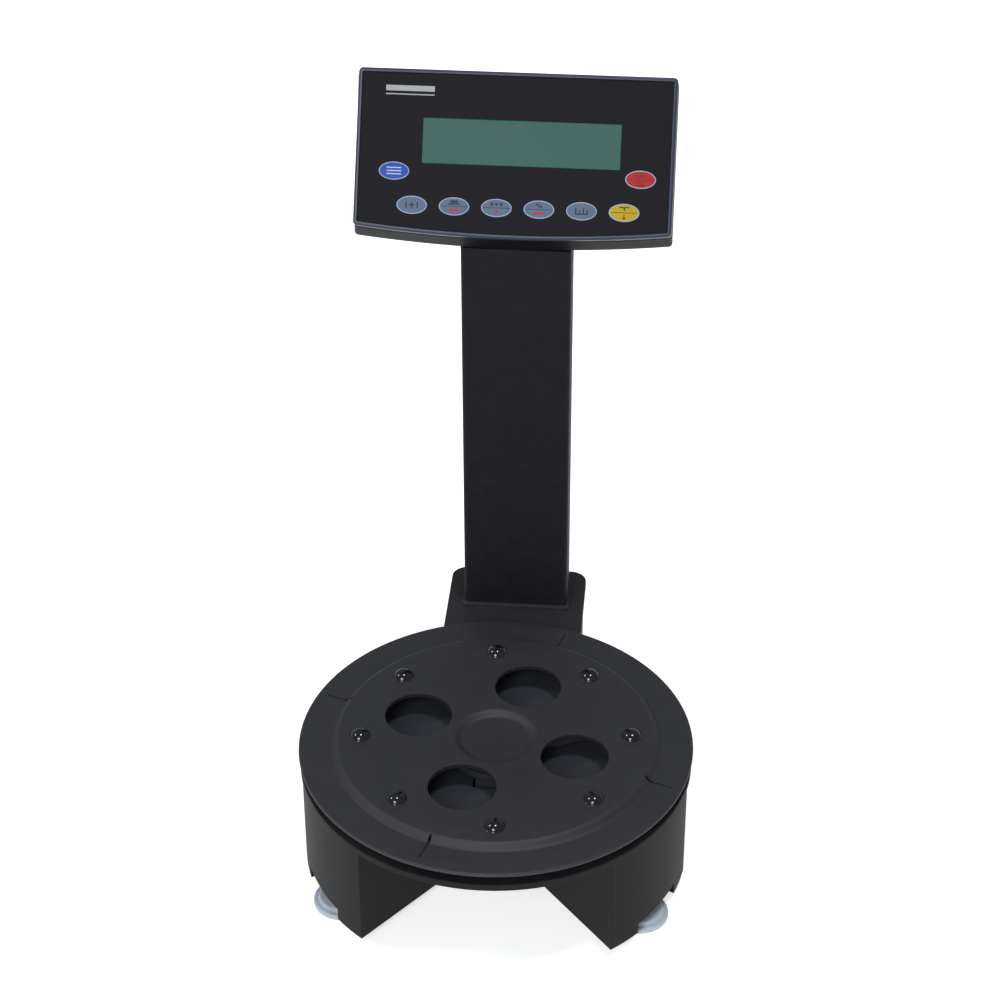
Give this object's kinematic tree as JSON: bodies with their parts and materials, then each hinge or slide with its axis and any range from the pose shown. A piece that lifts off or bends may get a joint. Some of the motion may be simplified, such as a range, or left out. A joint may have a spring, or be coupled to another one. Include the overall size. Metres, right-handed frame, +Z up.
{
  "type": "bench weighing scale",
  "caption": "Round-pan bench scale on a three-legged base, with a lift-off pan and a tilting display head with keys on a rectangular column.",
  "frame": {"origin": "middle of the footprint's box on the bench, between the front edge of the pan and the rear of the display head", "axes": "+Z up, -Y towards the operator, +X to the operator's right"},
  "size_m": [0.233, 0.3031, 0.4366],
  "materials": {
    "base_paint": "fine matte texture",
    "pan_paint": "fine matte grain",
    "column_paint": "fine matte texture",
    "case_plastic": "fine texture",
    "bezel_plastic": "satin",
    "film": "satin printed film",
    "lcd": "grey-green display window",
    "key_blue": "satin",
    "key_grey": "satin",
    "key_red": "satin",
    "key_yellow": "satin",
    "rubber": "matte",
    "bumper_rubber": "glossy domes",
    "foot_plastic": "milky translucent",
    "gasket": "matte",
    "steel": "zinc plated",
    "aluminium": "machined",
    "brass": "turned",
    "board": "circuit board",
    "cable": "soft sheath"
  },
  "bodies": {
    "root": {"base_housing": "base_paint", "bottom_cover": "base_paint", "cover_screws": "steel", "foot_inserts": "brass", "load_cell": "aluminium", "cell_bolts": "steel", "overload_stop": "steel", "column_gasket": "gasket", "column": "column_paint", "column_foot": "aluminium", "column_screws": "steel", "column_rear_screws": "steel", "tilt_bracket": "column_paint", "tilt_bolt": "steel", "tilt_knob": "rubber", "column_grommet": "rubber", "main_board": "board", "main_board_screws": "steel", "dc_inlet": "rubber", "data_port": "steel", "cell_cable": "cable", "signal_cable": "cable"},
    "weigh": {"cell_stem": "column_paint", "stem_bolts": "steel", "pan_carrier": "column_paint", "carrier_screws": "steel", "carrier_pads": "rubber"},
    "pan": {"pan": "pan_paint", "pan_bumpers": "bumper_rubber"},
    "head": {"head_bracket": "column_paint", "head_bracket_screws": "steel", "head_rear_shell": "case_plastic", "head_bezel": "bezel_plastic", "head_screws": "steel", "face_film": "film", "lcd_window": "lcd", "lcd_module": "steel", "display_board": "board", "display_board_screws": "steel", "key_switches": "rubber", "head_grommet": "rubber", "head_lead": "cable"},
    "foot_left_stud": {"foot_left_stud": "steel"},
    "foot_left_pad": {"foot_left_pad": "foot_plastic"},
    "foot_right_stud": {"foot_right_stud": "steel"},
    "foot_right_pad": {"foot_right_pad": "foot_plastic"},
    "foot_rear_stud": {"foot_rear_stud": "steel"},
    "foot_rear_pad": {"foot_rear_pad": "foot_plastic"},
    "key_menu": {"key_menu": "key_blue"},
    "key_power": {"key_power": "key_red"},
    "key_calibrate": {"key_calibrate": "key_grey"},
    "key_print": {"key_print": "key_grey"},
    "key_count": {"key_count": "key_grey"},
    "key_percent": {"key_percent": "key_grey"},
    "key_units": {"key_units": "key_grey"},
    "key_tare": {"key_tare": "key_yellow"}
  },
  "joints": [
    {"name": "weigh_slide", "type": "slide", "parent": "root", "child": "weigh", "axis": [0, 0, 1], "range_m": [-0.0005, 0], "stiffness_N_per_m": 100000, "deforming": ["load_cell"]},
    {"name": "pan_lift", "type": "slide", "parent": "weigh", "child": "pan", "axis": [0, 0, 1], "range_m": [0, 0.08]},
    {"name": "head_tilt", "type": "hinge", "parent": "root", "child": "head", "pos_m": [0, 0.12976, 0.35201], "axis": [1, 0, 0], "range_deg": [-25, 0], "deforming": ["head_lead"]},
    {"name": "key_menu_press", "type": "slide", "parent": "head", "child": "key_menu", "axis": [0, 0.8387, -0.5446], "range_m": [0, 0.0004], "stiffness_N_per_m": 1000},
    {"name": "key_power_press", "type": "slide", "parent": "head", "child": "key_power", "axis": [0, 0.8387, -0.5446], "range_m": [0, 0.0004], "stiffness_N_per_m": 1000},
    {"name": "key_calibrate_press", "type": "slide", "parent": "head", "child": "key_calibrate", "axis": [0, 0.8387, -0.5446], "range_m": [0, 0.0004], "stiffness_N_per_m": 1000},
    {"name": "key_print_press", "type": "slide", "parent": "head", "child": "key_print", "axis": [0, 0.8387, -0.5446], "range_m": [0, 0.0004], "stiffness_N_per_m": 1000},
    {"name": "key_count_press", "type": "slide", "parent": "head", "child": "key_count", "axis": [0, 0.8387, -0.5446], "range_m": [0, 0.0004], "stiffness_N_per_m": 1000},
    {"name": "key_percent_press", "type": "slide", "parent": "head", "child": "key_percent", "axis": [0, 0.8387, -0.5446], "range_m": [0, 0.0004], "stiffness_N_per_m": 1000},
    {"name": "key_units_press", "type": "slide", "parent": "head", "child": "key_units", "axis": [0, 0.8387, -0.5446], "range_m": [0, 0.0004], "stiffness_N_per_m": 1000},
    {"name": "key_tare_press", "type": "slide", "parent": "head", "child": "key_tare", "axis": [0, 0.8387, -0.5446], "range_m": [0, 0.0004], "stiffness_N_per_m": 1000},
    {"name": "foot_left_travel", "type": "slide", "parent": "root", "child": "foot_left_stud", "axis": [0, 0, 1], "range_m": [-0.004, 0.001]},
    {"name": "foot_left_turn", "type": "hinge", "parent": "foot_left_stud", "child": "foot_left_pad", "pos_m": [-0.08743, -0.08777, 0], "axis": [0, 0, 1], "range_deg": [-1152, 288]},
    {"name": "foot_right_travel", "type": "slide", "parent": "root", "child": "foot_right_stud", "axis": [0, 0, 1], "range_m": [-0.004, 0.001]},
    {"name": "foot_right_turn", "type": "hinge", "parent": "foot_right_stud", "child": "foot_right_pad", "pos_m": [0.08921, -0.08468, 0], "axis": [0, 0, 1], "range_deg": [-1152, 288]},
    {"name": "foot_rear_travel", "type": "slide", "parent": "root", "child": "foot_rear_stud", "axis": [0, 0, 1], "range_m": [-0.004, 0.001]},
    {"name": "foot_rear_turn", "type": "hinge", "parent": "foot_rear_stud", "child": "foot_rear_pad", "pos_m": [0, 0.08977, 0], "axis": [0, 0, 1], "range_deg": [-1152, 288]}
  ],
  "couplings": [
    {"joint": "foot_left_turn", "follows": "foot_left_travel", "rad_per_m": 5026.5},
    {"joint": "foot_right_turn", "follows": "foot_right_travel", "rad_per_m": 5026.5},
    {"joint": "foot_rear_turn", "follows": "foot_rear_travel", "rad_per_m": 5026.5}
  ]
}
